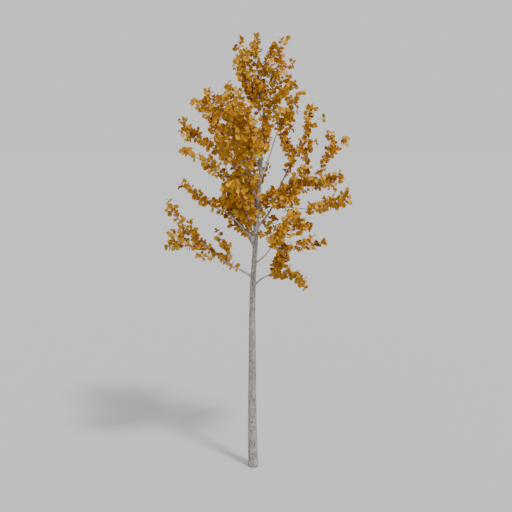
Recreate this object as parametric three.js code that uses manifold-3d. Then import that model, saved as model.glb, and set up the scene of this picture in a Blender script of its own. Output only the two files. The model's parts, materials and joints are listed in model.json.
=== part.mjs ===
// A young linden in autumn leaf: one trunk, its bare boughs, and the leafy masses that the boughs carry.
// Millimetres, +Z up, +X to the right and +Y away from the front.
// The origin is the middle of the flat cut at the ground.

import * as THREE from 'three';
import { mergeVertices } from 'three/addons/utils/BufferGeometryUtils.js';
import Module from 'manifold-3d';

const wasm = await Module();
wasm.setup();

// Trunk: height of its tip, radius at the ground and at the tip, and the flare of the root collar
const TRUNK_HEIGHT = 4400;
const TRUNK_FOOT_RADIUS = 61;
const TRUNK_TIP_RADIUS = 11;
const FLARE_RADIUS = 4.5;
const FLARE_HEIGHT = 90;
const FLARE_RIBS = 5;
const FLARE_RIB_DEPTH = 3;
const TRUNK_SIDES = 15;
const TRUNK_RINGS = 22;
const TRUNK_RING_CROWDING = 1.5;

// Lean of the trunk: a slight step to the left at the foot, then an eased lean to the right in the crown
const BOW_HEIGHT = 250;
const BOW = -12;
const LEAN_START = 1900;
const LEAN_END = 4450;
const LEAN = 125;
const DEPTH_WAVE = 20;
const DEPTH_WAVE_HEIGHT = 2600;

// Limbs: how thick they are, how they taper, how much they wander, and the clear gap where two solids meet
const LIMB_STEPS = 12;
const LIMB_SWAY = 6;
const SIDEWAYS_SWAY = 1.3;
const SIDEWAYS_WAVES = 1.5;
const UPWARD_WAVES = 2;
const STEEPEST_RISE = 88;
const LIMB_RADIUS = 6;
const LIMB_RADIUS_PER_LENGTH = 0.0065;
const SHARE_OF_TRUNK_RADIUS = 0.55;
const SHARE_OF_LIMB_RADIUS = 0.75;
const LIMB_TIP_RADIUS = 5.6;
const LIMB_TAPER = 1.1;
const BOUGH_SIDES = 6;
const BOUGH_RING_PITCH = 110;
const STEM_SIDES = 3;
const STEM_RING_PITCH = 190;
const JOINT_GAP = 0.3;
const SIDE_JOINT_GAP = 0.35;
const WELD_DISTANCE = 1e-4;

// Shoots: side twigs that leave a limb by turns to its left and right
const SHOOT_STEPS = 6;
const SHOOT_SWAY = 8;
const SHOOT_CLIMB = 14;
const SHOOT_ANGLE = 42;
const SHOOT_ANGLE_SPREAD = 22;
const SHOOT_ROLL_SPREAD = 120;
const SHOOT_FIRST_PLACE = 0.35;
const SHOOT_PLACE_SPREAD = 0.5;
const LAST_SHOOT = 0.97;
const FIRST_SHOOT_SHARE = 0.92;
const SHOOT_SHORTENING = 0.48;
const SHOOT_LENGTH_MIN = 0.65;
const SHOOT_LENGTH_SPREAD = 0.7;
const SHORTEST_SHOOT = 118;
const SHOOT_RADIUS = 3.6;
const SHOOT_TIP_RADIUS = 3.2;
const SHOOT_SIDES = 3;
const SHOOT_RINGS = 1;

// Leaves: each stands for a small spray, so it is about twice the size of one linden leaf.
// They leave the three faces of their twig in turn, each blade near the plane of its own twig
const LEAF_LENGTH = 124;
const LEAF_WIDTH = 106;
const LEAF_THICKNESS = 7;
const LEAF_WIDEST_SHIFT = 0.2;
const LEAF_ANGLE = 56;
const LAST_LEAF_ANGLE = 32;
const LEAF_ROLLS = [30, 150, 270];
const LEAF_ROLL_SPREAD = 20;
const LEAF_TILT_SPREAD = 70;
const LEAF_TIP_MARGIN = 9;
const STEM_LEAF_PITCH = 108;
const SHOOT_LEAF_PITCH = 90;
const FIRST_LEAF_ON_STEM = 60;
const FIRST_LEAF_ON_SHOOT = 48;

// Room that a solid keeps for itself around its sample points, so that no two masses touch
const TWIG_SAMPLE_PITCH = 20;
const TWIG_ROOM = 12;
const LEAF_ROOM = 17;
const LEAF_SPACING = 24;
const LIMB_MARGIN = 6;
const CELL = 90;

// Where each kind of chance draw starts, and how many each shoot or leaf has
const SEEDS_PER_LIMB = 64;
const SHOOT_DRAWS = 10;
const DEAL_DRAWS = 1000;
const LEAF_DRAW = 500;
const LEAF_DRAWS = 5;
const SWAY_DRAW = 900;

const DEGREE = Math.PI / 180;
const UP = new THREE.Vector3(0, 0, 1);

const barkFinish = new THREE.MeshStandardMaterial({ color: 0xada9a3, roughness: 0.85, metalness: 0 });
const leafFinishes = [0xdea735, 0xcb8b1f, 0xb5711b, 0x905019, 0xaa9730].map(
  (color) => new THREE.MeshStandardMaterial({ color, roughness: 0.6, metalness: 0 }),
);

/**
 * Describes a limb. It leaves the trunk at a height in millimetres, or another limb at a share of that
 * limb's length. Bearing is turned from +X towards +Y, and rise is from the level. Turn and lift are what
 * they gain by the tip, and arch what the rise gains half way. The bare shares at the foot and at the tip
 * have no leaves of their own. Reach is the size of the shoots, and deal says which of the limb's
 * arrangements of shoots it has.
 */
function limb(name, from, at, length, { turn = 0, lift = 0, arch = 0, bareTip = 0, ...sizes }) {
  return { name, from, at, length, turn, lift, arch, bareTip, ...sizes };
}

const LIMBS = [
  limb('left_low', 'trunk', 2440, 1360, {
    bearing: 195, rise: 33, lift: 31, arch: -8, bare: 0.15, shoots: 5, reach: 270, deal: 11,
  }),
  limb('left_low_out', 'left_low', 0.45, 510, {
    bearing: 190, turn: 10, rise: 12, lift: -30, arch: 15, bare: 0.05, shoots: 5, reach: 140, deal: 11,
  }),
  limb('left_second', 'trunk', 2850, 1100, {
    bearing: 190, rise: 65, lift: -25, arch: -20, bare: 0.38, shoots: 8, reach: 130, deal: 14,
  }),
  limb('left_upright', 'left_second', 0.1, 720, {
    bearing: 180, turn: 30, rise: 88, lift: -60, arch: 15,
    bare: 0.1, bareTip: 0.15, shoots: 4, reach: 330, deal: 2,
  }),
  limb('left_inner', 'trunk', 2800, 820, {
    bearing: 150, rise: 50, lift: 20, bare: 0.15, shoots: 11, reach: 240, deal: 2,
  }),
  limb('left_third', 'trunk', 3200, 1270, {
    bearing: 210, turn: 20, rise: 61, lift: -35, arch: -10, bare: 0.4, shoots: 3, reach: 150, deal: 7,
  }),
  limb('left_steep', 'left_third', 0.37, 1040, {
    bearing: 152, rise: 54, lift: -14, arch: 30, bare: 0.25, bareTip: 0.1, shoots: 11, reach: 280, deal: 2,
  }),
  limb('left_fourth', 'trunk', 3440, 1320, {
    bearing: 150, turn: 5, rise: 48, lift: -10, arch: -9, bare: 0.1, shoots: 10, reach: 170, deal: 19,
  }),
  limb('left_upper', 'trunk', 4000, 690, {
    bearing: 200, rise: 49, lift: 20, bare: 0.1, shoots: 8, reach: 210, deal: 16,
  }),
  limb('right_low', 'trunk', 2320, 920, {
    bearing: 40, turn: 5, rise: 29, lift: -62, arch: -6, bare: 0.35, shoots: 7, reach: 150, deal: 1,
  }),
  limb('right_low_up', 'right_low', 0.37, 370, {
    bearing: 20, turn: -5, rise: 65, lift: -10, bare: 0.1, shoots: 10, reach: 220, deal: 14,
  }),
  limb('right_second', 'trunk', 2590, 840, {
    bearing: 315, rise: 40, lift: 15, bare: 0.48, shoots: 8, reach: 180, deal: 9,
  }),
  limb('right_level', 'right_second', 0.42, 660, {
    bearing: 20, turn: 5, rise: -27, lift: 30, arch: 20, bare: 0.45, shoots: 5, reach: 130, deal: 2,
  }),
  limb('right_third', 'trunk', 3040, 1540, {
    bearing: 15, rise: 46, lift: -10, arch: 25, bare: 0.45, bareTip: 0.15, shoots: 5, reach: 100, deal: 13,
  }),
  limb('right_inner', 'right_third', 0.55, 570, {
    bearing: 135, turn: -60, rise: 65, lift: 10, arch: -10,
    bare: 0.1, bareTip: 0.15, shoots: 7, reach: 160, deal: 4,
  }),
  limb('right_fork', 'right_third', 0.28, 750, {
    bearing: 335, rise: 38, lift: 60, arch: -15, bare: 0.07, shoots: 8, reach: 200, deal: 4,
  }),
  limb('right_outer', 'right_fork', 0.28, 630, {
    bearing: 15, rise: 0, lift: 10, bare: 0.05, bareTip: 0.15, shoots: 10, reach: 220, deal: 12,
  }),
  limb('right_tip', 'right_outer', 0.58, 650, {
    bearing: 25, rise: 88, lift: -75, bare: 0.15, bareTip: 0.1, shoots: 3, reach: 100, deal: 7,
  }),
  limb('right_long', 'right_third', 0.22, 1070, {
    bearing: 320, turn: -5, rise: -14, lift: 36, arch: 5, bare: 0.47, shoots: 7, reach: 180, deal: 13,
  }),
  limb('right_drop', 'right_long', 0.15, 370, {
    bearing: 345, rise: -43, bare: 0.15, shoots: 8, reach: 130, deal: 4,
  }),
  limb('right_upper', 'trunk', 3590, 1270, {
    bearing: 50, rise: 50, lift: -35, arch: 25, bare: 0.5, bareTip: 0.1, shoots: 9, reach: 130, deal: 6,
  }),
  limb('right_top', 'trunk', 4170, 630, {
    bearing: 340, turn: 20, rise: 70, lift: -55, arch: 15,
    bare: 0.15, bareTip: 0.1, shoots: 5, reach: 240, deal: 0,
  }),
  limb('front_high', 'trunk', 3700, 1120, {
    bearing: 258, rise: 34, lift: 15, bare: 0.25, shoots: 9, reach: 200, deal: 1,
  }),
  limb('front_left', 'trunk', 3330, 1290, {
    bearing: 240, rise: 51, lift: 10, bare: 0.15, shoots: 12, reach: 190, deal: 0,
  }),
  limb('front_right', 'trunk', 3810, 540, {
    bearing: 280, rise: 37, lift: 30, arch: 10, bare: 0.2, bareTip: 0.15, shoots: 8, reach: 150, deal: 8,
  }),
  limb('back_first', 'trunk', 2840, 780, {
    bearing: 100, rise: 49, lift: 10, bare: 0.3, shoots: 7, reach: 330, deal: 2,
  }),
  limb('back_low', 'trunk', 3090, 1190, {
    bearing: 95, rise: 46, lift: 15, bare: 0.15, shoots: 7, reach: 330, deal: 4,
  }),
  limb('back_left', 'trunk', 3490, 1310, {
    bearing: 120, rise: 46, lift: 15, bare: 0.25, shoots: 11, reach: 270, deal: 1,
  }),
  limb('top_leader', 'trunk', TRUNK_HEIGHT, 720, {
    bearing: 150, rise: 80, bare: 0, bareTip: 0.15, shoots: 11, reach: 290, deal: 17,
  }),
  limb('top_right', 'trunk', 4300, 860, {
    bearing: 0, turn: -20, rise: 68, lift: 17, bare: 0.2, bareTip: 0.15, shoots: 8, reach: 250, deal: 9,
  }),
  limb('top_left', 'trunk', 4280, 830, {
    bearing: 185, rise: 63, lift: 10, bare: 0.1, bareTip: 0.15, shoots: 7, reach: 350, deal: 15,
  }),
  limb('left_high', 'trunk', 3750, 1080, {
    bearing: 165, turn: -20, rise: 78, lift: -20, arch: -25,
    bare: 0.2, bareTip: 0.1, shoots: 8, reach: 180, deal: 7,
  }),
  limb('left_second_up', 'left_second', 0.4, 270, {
    bearing: 190, rise: 85, bare: 0.1, shoots: 3, reach: 170, deal: 18,
  }),
  limb('right_second_in', 'right_second', 0.5, 290, {
    bearing: 115, turn: -10, rise: 20, lift: 75, bare: 0.05, bareTip: 0.15, shoots: 5, reach: 130, deal: 4,
  }),
  limb('right_tip_up', 'right_tip', 0.45, 280, {
    bearing: 340, rise: 75, lift: 20, bare: 0.1, bareTip: 0.15, shoots: 3, reach: 120, deal: 15,
  }),
  limb('right_spire', 'right_third', 0.8, 330, {
    bearing: 55, rise: 88, lift: -35, bare: 0.15, bareTip: 0.15, shoots: 3, reach: 100, deal: 3,
  }),
  limb('right_fork_low', 'right_fork', 0.1, 240, {
    bearing: 290, rise: -25, lift: 30, arch: -10, bare: 0.05, shoots: 9, reach: 160, deal: 0,
  }),
  limb('left_low_in', 'left_low', 0.25, 380, {
    bearing: 195, rise: 85, lift: -45, arch: 10, bare: 0.1, bareTip: 0.15, shoots: 3, reach: 100, deal: 6,
  }),
  limb('right_twig', 'trunk', 3230, 300, {
    bearing: 340, rise: 52, lift: 10, bare: 0.3, bareTip: 0.15, shoots: 3, reach: 110, deal: 3,
  }),
  limb('front_low', 'trunk', 3000, 800, {
    bearing: 243, rise: 42, lift: 15, bare: 0.15, shoots: 9, reach: 190, deal: 5,
  }),
  limb('left_fourth_out', 'left_fourth', 0.78, 180, {
    bearing: 185, rise: 5, lift: 20, bare: 0.1, shoots: 3, reach: 100, deal: 1,
  }),
];

/** Gives a repeatable number from 0 to 1 for a seed and an index. */
function chance(seed, index) {
  let x = (Math.imul(seed, 0x9e3779b1) + Math.imul(index, 0x85ebca77)) >>> 0;
  x = Math.imul(x ^ (x >>> 15), 0x2c1b3c6d) >>> 0;
  x = Math.imul(x ^ (x >>> 12), 0x297a2d39) >>> 0;
  return ((x ^ (x >>> 15)) >>> 0) / 2 ** 32;
}

/** Gives the seed of a limb's shoot. */
function shootSeed(limbSeed, i) {
  return SEEDS_PER_LIMB * limbSeed + i;
}

/** Gives the unit vector of a bearing and a rise in degrees. */
function heading(bearing, rise) {
  const level = Math.cos(rise * DEGREE);
  return new THREE.Vector3(
    level * Math.cos(bearing * DEGREE),
    level * Math.sin(bearing * DEGREE),
    Math.sin(rise * DEGREE),
  );
}

/** A line of evenly spaced points; s runs from 0 at its foot to 1 at its tip. */
class Line {
  constructor(points, length) {
    this.points = points;
    this.length = length;
    const chord = points[points.length - 1].clone().sub(points[0]);
    this.reference = new THREE.Vector3().crossVectors(chord, UP).normalize();
  }

  at(s) {
    const place = THREE.MathUtils.clamp(s, 0, 1) * (this.points.length - 1);
    const i = Math.min(Math.floor(place), this.points.length - 2);
    return this.points[i].clone().lerp(this.points[i + 1], place - i);
  }

  along(s) {
    const half = 0.5 / (this.points.length - 1);
    return this.at(s + half).sub(this.at(s - half)).normalize();
  }

  frame(s) {
    const along = this.along(s);
    const side = this.reference.clone().addScaledVector(along, -this.reference.dot(along)).normalize();
    const top = new THREE.Vector3().crossVectors(side, along);
    return { point: this.at(s), along, side, top };
  }
}

/** Grows a line from its foot: each step follows the heading at its middle, which wanders a little. */
function grow(foot, length, steps, seed, sway, headingAt) {
  const points = [foot.clone()];
  const phase = [chance(seed, SWAY_DRAW), chance(seed, SWAY_DRAW + 1)];
  for (let i = 0; i < steps; i += 1) {
    const s = (i + 0.5) / steps;
    const [bearing, rise] = headingAt(s);
    const sideways = SIDEWAYS_SWAY * sway * Math.sin(2 * Math.PI * (SIDEWAYS_WAVES * s + phase[0]));
    const upwards = sway * Math.sin(2 * Math.PI * (UPWARD_WAVES * s + phase[1]));
    const steep = THREE.MathUtils.clamp(rise + upwards, -STEEPEST_RISE, STEEPEST_RISE);
    points.push(points[i].clone().addScaledVector(heading(bearing + sideways, steep), length / steps));
  }
  return new Line(points, length);
}

/** Gives the middle of the trunk at a height. */
function trunkAxis(z) {
  const bow = BOW * (1 - Math.exp(-z / BOW_HEIGHT));
  const x = bow + LEAN * THREE.MathUtils.smoothstep(z, LEAN_START, LEAN_END);
  return new THREE.Vector3(x, DEPTH_WAVE * Math.sin((Math.PI * z) / DEPTH_WAVE_HEIGHT), z);
}

/** Gives the trunk's radius at a height, with the root collar's flare and, for an angle, its ribs. */
function trunkRadius(z, angle = 0) {
  const fade = Math.exp(-z / FLARE_HEIGHT);
  const ribs = FLARE_RIB_DEPTH * Math.cos(FLARE_RIBS * angle);
  const taper = THREE.MathUtils.lerp(TRUNK_FOOT_RADIUS, TRUNK_TIP_RADIUS, z / TRUNK_HEIGHT);
  return taper + fade * (FLARE_RADIUS + ribs);
}

/** The trunk's closed surface, its level rings closer at the flare; extra widens and lengthens it. */
function trunkGeometry(extra) {
  const geometry = new THREE.CylinderGeometry(1, 1, 1, TRUNK_SIDES, TRUNK_RINGS);
  const place = geometry.getAttribute('position');
  for (let i = 0; i < place.count; i += 1) {
    const z = (TRUNK_HEIGHT + extra) * (place.getY(i) + 0.5) ** TRUNK_RING_CROWDING;
    const across = new THREE.Vector2(place.getZ(i), place.getX(i));
    const radius = trunkRadius(z, across.angle()) + extra / Math.cos(Math.PI / TRUNK_SIDES);
    const axis = trunkAxis(z);
    place.setXYZ(i, axis.x + radius * across.x, axis.y + radius * across.y, z);
  }
  return geometry;
}

/** A closed tapering tube along part of a line. */
function tubeGeometry(line, from, to, radius, sides, rings) {
  const geometry = new THREE.CylinderGeometry(1, 1, 1, sides, rings);
  const place = geometry.getAttribute('position');
  for (let i = 0; i < place.count; i += 1) {
    const s = from + (to - from) * (place.getY(i) + 0.5);
    const { point, side, top } = line.frame(s);
    const r = radius(s);
    point.addScaledVector(side, r * place.getX(i)).addScaledVector(top, r * place.getZ(i));
    place.setXYZ(i, point.x, point.y, point.z);
  }
  return geometry;
}

/** Turns a closed geometry into a solid that can be joined and cut. */
function solid(geometry) {
  geometry.deleteAttribute('normal');
  geometry.deleteAttribute('uv');
  const merged = mergeVertices(geometry, WELD_DISTANCE);
  const vertProperties = new Float32Array(merged.getAttribute('position').array);
  const triVerts = new Uint32Array(merged.getIndex().array);
  return new wasm.Manifold(new wasm.Mesh({ numProp: 3, vertProperties, triVerts }));
}

/** Keeps the largest outer shell: loose scraps are dropped and sealed hollows are filled. */
function largestShell(body) {
  const shells = body.decompose();
  return shells.reduce((best, shell) => (shell.volume() > best.volume() ? shell : best));
}

/** Makes the named mesh of a solid. */
function namedMesh(name, body, finish) {
  const { vertProperties, triVerts } = body.getMesh();
  const geometry = new THREE.BufferGeometry();
  geometry.setAttribute('position', new THREE.BufferAttribute(vertProperties, 3));
  geometry.setIndex(new THREE.BufferAttribute(triVerts, 1));
  geometry.computeVertexNormals();
  const mesh = new THREE.Mesh(geometry, finish);
  mesh.name = name;
  return mesh;
}

/** Sample points with their owners and the room that each needs, found by cell. */
class Space {
  constructor() {
    this.cells = new Map();
  }

  cell(point, dx, dy, dz) {
    const [x, y, z] = [point.x, point.y, point.z].map((value) => Math.floor(value / CELL));
    return `${x + dx},${y + dy},${z + dz}`;
  }

  take(owner, points, room, ownRoom = 0) {
    for (const point of points) {
      const key = this.cell(point, 0, 0, 0);
      if (!this.cells.has(key)) this.cells.set(key, []);
      this.cells.get(key).push({ owner, point, room, ownRoom });
    }
  }

  isFree(owner, points, room, ownRoom = 0) {
    const near = [-1, 0, 1];
    const clearance = (other) =>
      other.owner === owner ? Math.min(other.ownRoom, ownRoom) : other.room + room;
    const blocked = (point) => (other) => other.point.distanceTo(point) < clearance(other);
    for (const point of points) {
      for (const dx of near) {
        for (const dy of near) {
          for (const dz of near) {
            const others = this.cells.get(this.cell(point, dx, dy, dz)) ?? [];
            if (others.some(blocked(point))) return false;
          }
        }
      }
    }
    return true;
  }
}

/** Gives points along part of a line, one every sample pitch. */
function samples(line, from, to) {
  const count = Math.max(1, Math.ceil(((to - from) * line.length) / TWIG_SAMPLE_PITCH));
  return Array.from({ length: count + 1 }, (_, i) => line.at(from + ((to - from) * i) / count));
}

/** Gives the unit vector that leaves a line's direction by an angle, rolled about it. */
function leave({ along, side, top }, roll, angle) {
  return along
    .clone()
    .multiplyScalar(Math.cos(angle * DEGREE))
    .addScaledVector(side, Math.sin(angle * DEGREE) * Math.cos(roll * DEGREE))
    .addScaledVector(top, Math.sin(angle * DEGREE) * Math.sin(roll * DEGREE));
}

/** Works out every limb's line, radius and owner, in the order of the table. */
function layLimbs() {
  const laid = new Map();
  LIMBS.forEach((sizes, order) => {
    const parent = laid.get(sizes.from);
    const foot = parent ? parent.line.at(sizes.at) : trunkAxis(sizes.at);
    const thickest = parent
      ? SHARE_OF_LIMB_RADIUS * parent.radius(sizes.at)
      : SHARE_OF_TRUNK_RADIUS * trunkRadius(sizes.at);
    const footRadius = Math.min(thickest, LIMB_RADIUS + LIMB_RADIUS_PER_LENGTH * sizes.length);
    const seed = order + 1;
    const line = grow(foot, sizes.length, LIMB_STEPS, seed, LIMB_SWAY, (s) => [
      sizes.bearing + sizes.turn * s,
      sizes.rise + sizes.lift * s + sizes.arch * 4 * s * (1 - s),
    ]);
    const tipRadius = Math.min(LIMB_TIP_RADIUS, footRadius);
    const radius = (s) => tipRadius + (footRadius - tipRadius) * (1 - s) ** LIMB_TAPER;
    // A limb that leaves a leafy stem is a branch of that mass; one on bare wood has its own solids.
    const branchOf = parent && sizes.at > parent.bare ? (parent.branchOf ?? parent.name) : undefined;
    laid.set(sizes.name, { ...sizes, seed, line, radius, parent, branchOf });
  });
  return laid;
}

/** Gives a limb's shoots, by turns to its left and right, shorter towards its tip. */
function shootsOf(limbLaid) {
  const { line, seed, bare, shoots, reach, deal } = limbLaid;
  return Array.from({ length: shoots }, (_, i) => {
    const draw = (k) => chance(seed, DEAL_DRAWS * deal + SHOOT_DRAWS * i + k);
    const u = (i + SHOOT_FIRST_PLACE + SHOOT_PLACE_SPREAD * draw(1)) / shoots;
    const frame = line.frame(bare + (1 - bare) * LAST_SHOOT * u);
    const roll = 180 * (i % 2) + SHOOT_ROLL_SPREAD * (draw(2) - 0.5);
    const out = leave(frame, roll, SHOOT_ANGLE + SHOOT_ANGLE_SPREAD * draw(3));
    const share = FIRST_SHOOT_SHARE - SHOOT_SHORTENING * u;
    const length = reach * share * (SHOOT_LENGTH_MIN + SHOOT_LENGTH_SPREAD * draw(4));
    const bearing = Math.atan2(out.y, out.x) / DEGREE;
    const rise = Math.asin(out.z) / DEGREE;
    const climb = (s) => [bearing, rise + SHOOT_CLIMB * s];
    return grow(frame.point, length, SHOOT_STEPS, shootSeed(seed, i), SHOOT_SWAY, climb);
  });
}

/** A leaf's frame, rooted on its twig's middle line: its direction, its width and its upper face. */
function leafFrame(frame, roll, angle, tilt) {
  const along = leave(frame, roll, angle);
  const face = new THREE.Vector3().crossVectors(along, frame.along).normalize();
  if (face.z < 0) face.negate();
  face.applyAxisAngle(along, tilt * DEGREE);
  const across = new THREE.Vector3().crossVectors(face, along);
  const middle = frame.point.clone().addScaledVector(along, LEAF_LENGTH / 2);
  return { along, across, face, middle };
}

/** Gives points over a leaf's diamond, leaving out its root. */
function leafSamples({ along, across, middle }) {
  const points = [];
  for (let i = -1; i <= 2; i += 1) {
    for (let j = Math.abs(i) - 2; j <= 2 - Math.abs(i); j += 1) {
      const point = middle.clone().addScaledVector(along, (i * LEAF_LENGTH) / 4);
      points.push(point.addScaledVector(across, (j * LEAF_WIDTH) / 4));
    }
  }
  return points;
}

/** A leaf of eight faces, widest past its middle. */
function leafGeometry({ along, across, face, middle }) {
  const geometry = new THREE.OctahedronGeometry(1);
  const place = geometry.getAttribute('position');
  for (let i = 0; i < place.count; i += 1) {
    const x = place.getX(i);
    place.setX(i, x + LEAF_WIDEST_SHIFT * (1 - Math.abs(x)));
  }
  const turn = new THREE.Matrix4().makeBasis(along, across, face).setPosition(middle);
  return geometry.scale(LEAF_LENGTH / 2, LEAF_WIDTH / 2, LEAF_THICKNESS / 2).applyMatrix4(turn);
}

/** Gives the leaf frames along part of a line, about one every pitch; the last lies close to the line. */
function leavesAlong(line, from, to, first, pitch, seed) {
  const start = from * line.length + first;
  const run = to * line.length - LEAF_TIP_MARGIN - start;
  const gaps = Math.max(1, Math.round(run / pitch));
  return Array.from({ length: gaps + 1 }, (_, i) => {
    const draw = (k) => chance(seed, LEAF_DRAW + LEAF_DRAWS * i + k) - 0.5;
    const frame = line.frame((start + (run * i) / gaps) / line.length);
    const roll = LEAF_ROLLS[(seed + i) % LEAF_ROLLS.length] + LEAF_ROLL_SPREAD * draw(1);
    return leafFrame(frame, roll, i === gaps ? LAST_LEAF_ANGLE : LEAF_ANGLE, LEAF_TILT_SPREAD * draw(2));
  });
}

/** The leafy masses: each limb's stem and branches, and the shoots and leaves that have room. */
function growMasses(laid, space) {
  const masses = new Map();
  const massOf = (one) => masses.get(one.branchOf ?? one.name);
  for (const one of laid.values()) {
    if (!one.branchOf) masses.set(one.name, { limb: one, pieces: [], leaves: [] });
    massOf(one).pieces.push(stemTube(one, 0));
    space.take(massOf(one).limb.name, samples(one.line, one.branchOf ? 0 : one.bare, 1), TWIG_ROOM);
  }
  const leafy = [];
  for (const one of laid.values()) {
    const owner = massOf(one).limb.name;
    const leafEnd = 1 - one.bareTip;
    const onStem = leavesAlong(one.line, one.bare, leafEnd, FIRST_LEAF_ON_STEM, STEM_LEAF_PITCH, one.seed);
    leafy.push({ owner, leaves: onStem });
    shootsOf(one).forEach((line, i) => {
      const rootShare = Math.min(0.5, FIRST_LEAF_ON_SHOOT / 2 / line.length);
      const points = samples(line, rootShare, 1);
      if (line.length < SHORTEST_SHOOT || !space.isFree(owner, points, TWIG_ROOM)) return;
      space.take(owner, points, TWIG_ROOM);
      const radius = (s) => THREE.MathUtils.lerp(SHOOT_RADIUS, SHOOT_TIP_RADIUS, s);
      massOf(one).pieces.push(solid(tubeGeometry(line, 0, 1, radius, SHOOT_SIDES, SHOOT_RINGS)));
      const seed = shootSeed(one.seed, i);
      const onShoot = leavesAlong(line, 0, 1, FIRST_LEAF_ON_SHOOT, SHOOT_LEAF_PITCH, seed);
      leafy.push({ owner, leaves: onShoot });
    });
  }
  for (const { owner, leaves } of leafy) {
    for (const leaf of leaves) {
      const points = leafSamples(leaf);
      if (!space.isFree(owner, points, LEAF_ROOM, LEAF_SPACING)) continue;
      space.take(owner, points, LEAF_ROOM, LEAF_SPACING);
      masses.get(owner).leaves.push(solid(leafGeometry(leaf)));
    }
  }
  return masses;
}

/** The bare part of a limb; extra widens it all round and carries it past the gap at its end. */
function boughTube({ line, bare, radius }, extra) {
  const rings = Math.max(2, Math.ceil((bare * line.length) / BOUGH_RING_PITCH));
  const corner = extra / Math.cos(Math.PI / BOUGH_SIDES);
  const end = bare + (2 * extra) / line.length;
  return solid(tubeGeometry(line, 0, end, (s) => radius(s) + corner, BOUGH_SIDES, rings));
}

/** The leafy part of a limb without its shoots and leaves; extra widens it all round. */
function stemTube({ line, bare, radius, branchOf }, extra) {
  const from = branchOf ? 0 : bare + JOINT_GAP / line.length;
  const rings = Math.ceil(((1 - from) * line.length) / STEM_RING_PITCH);
  const corner = extra / Math.cos(Math.PI / STEM_SIDES);
  return solid(tubeGeometry(line, from, 1, (s) => radius(s) + corner, STEM_SIDES, rings));
}

/** The wood that a limb grows from, widened all round by the clear gap. */
function widenedWood(parent) {
  if (!parent) return solid(trunkGeometry(SIDE_JOINT_GAP));
  return boughTube(parent, SIDE_JOINT_GAP).add(stemTube(parent, SIDE_JOINT_GAP));
}

/** Builds the whole tree. */
function buildTree() {
  const tree = new THREE.Group();
  const laid = layLimbs();
  const space = new Space();
  for (let z = 0; z <= TRUNK_HEIGHT; z += TWIG_SAMPLE_PITCH) {
    space.take('trunk', [trunkAxis(z)], trunkRadius(z) + LIMB_MARGIN);
  }
  const boughs = [...laid.values()].filter((one) => !one.branchOf && one.bare > 0);
  for (const { name, line, bare, radius } of boughs) {
    space.take(`${name}_bough`, samples(line, 0, bare), radius(0) + LIMB_MARGIN);
  }
  tree.add(namedMesh('trunk', solid(trunkGeometry(0)), barkFinish));
  for (const one of boughs) {
    const body = largestShell(boughTube(one, 0).subtract(widenedWood(one.parent)));
    tree.add(namedMesh(`${one.name}_bough`, body, barkFinish));
  }
  let order = 0;
  for (const [name, { limb: one, pieces, leaves }] of growMasses(laid, space)) {
    const fused = wasm.Manifold.union([...pieces, ...leaves]);
    const body = largestShell(one.bare > 0 ? fused : fused.subtract(widenedWood(one.parent)));
    tree.add(namedMesh(`${name}_leaves`, body, leafFinishes[order % leafFinishes.length]));
    order += 1;
  }
  return tree;
}

export default buildTree();
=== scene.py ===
"""Looks of a young linden in autumn leaf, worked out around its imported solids.

The growing rule works in millimetres and degrees, with +Z up, +X to the right and +Y away from the front.
Meshes are in metres in the same frame, with the origin in the middle of the flat cut at the ground.
"""

import json
import logging
import math
from dataclasses import dataclass, field
from enum import Enum
from typing import Any, Callable, ClassVar

import bpy
import numpy as np
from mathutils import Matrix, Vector

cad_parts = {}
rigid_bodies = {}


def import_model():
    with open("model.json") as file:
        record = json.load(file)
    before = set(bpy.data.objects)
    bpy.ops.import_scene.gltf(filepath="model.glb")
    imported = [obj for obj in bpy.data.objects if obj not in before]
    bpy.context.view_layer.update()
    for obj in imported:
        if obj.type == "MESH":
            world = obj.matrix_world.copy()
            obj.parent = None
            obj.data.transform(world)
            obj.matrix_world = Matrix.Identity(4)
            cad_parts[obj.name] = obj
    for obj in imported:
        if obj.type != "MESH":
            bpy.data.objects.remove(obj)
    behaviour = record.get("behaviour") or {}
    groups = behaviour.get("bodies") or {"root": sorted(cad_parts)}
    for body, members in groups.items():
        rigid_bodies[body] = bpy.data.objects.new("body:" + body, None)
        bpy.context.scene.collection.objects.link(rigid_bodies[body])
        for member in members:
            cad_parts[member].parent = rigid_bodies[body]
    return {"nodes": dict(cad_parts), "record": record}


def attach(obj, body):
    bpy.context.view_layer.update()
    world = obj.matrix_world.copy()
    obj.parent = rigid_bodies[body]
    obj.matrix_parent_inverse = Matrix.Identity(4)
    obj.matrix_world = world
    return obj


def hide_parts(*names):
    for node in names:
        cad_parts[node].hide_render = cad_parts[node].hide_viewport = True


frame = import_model()

Array = np.ndarray
Colour = tuple[float, float, float]
Span = tuple[float, float]
Heading = Callable[[Array], tuple[Array, Array]]

LOG = logging.getLogger("linden")
MM = 0.001
TURN = 2 * np.pi
BODY = "root"
UP = np.array([0.0, 0.0, 1.0])
EVEN: Colour = (1.0, 1.0, 1.0)
# Added to the row of a bark cell, so that its number is never below zero
FIRST_CELL_ROW = 4


def chance(seed: Array | int, index: Array | int) -> Array:
    """Gives repeatable numbers from 0 to 1: a whole-number hash of the seed and the index.

    Args:
        seed: Seed of the limb, shoot or pattern.
        index: Number of the draw.

    Returns:
        One number for each pair of seed and index.
    """
    word = np.uint64(0xFFFFFFFF)
    seed_part = np.asarray(seed).astype(np.uint64) * np.uint64(0x9E3779B1)
    index_part = np.asarray(index).astype(np.uint64) * np.uint64(0x85EBCA77)
    x = (seed_part + index_part) & word
    x = ((x ^ (x >> np.uint64(15))) * np.uint64(0x2C1B3C6D)) & word
    x = ((x ^ (x >> np.uint64(12))) * np.uint64(0x297A2D39)) & word
    return (x ^ (x >> np.uint64(15))).astype(float) / 2.0**32


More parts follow.
